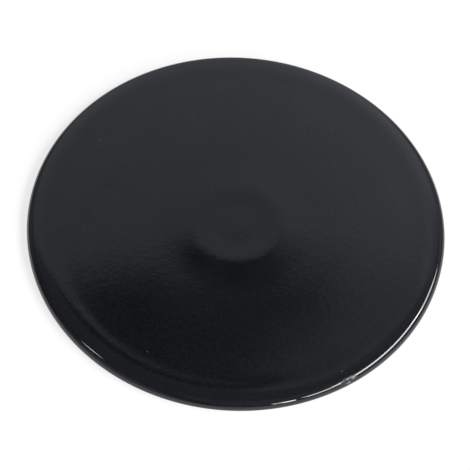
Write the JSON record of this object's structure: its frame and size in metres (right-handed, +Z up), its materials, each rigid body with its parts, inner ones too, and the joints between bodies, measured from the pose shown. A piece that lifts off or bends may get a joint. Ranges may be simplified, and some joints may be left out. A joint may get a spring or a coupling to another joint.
{
  "type": "gas burner cap",
  "caption": "Round, slightly domed burner cap pressed from enamelled steel sheet, with a turned-down rim; it covers a gas hob burner and spreads its flame.",
  "frame": {"origin": "centre of the ring-shaped foot of the rim, on the surface that the cap rests on", "axes": "+Z up along the cap's axis, out of the enamelled top face; the cap is round, so X and Y are free"},
  "size_m": [0.1, 0.1, 0.0032],
  "materials": {
    "black_enamel": "glossy black vitreous enamel"
  },
  "bodies": {
    "root": {"burner_cap": "black_enamel"}
  },
  "joints": []
}
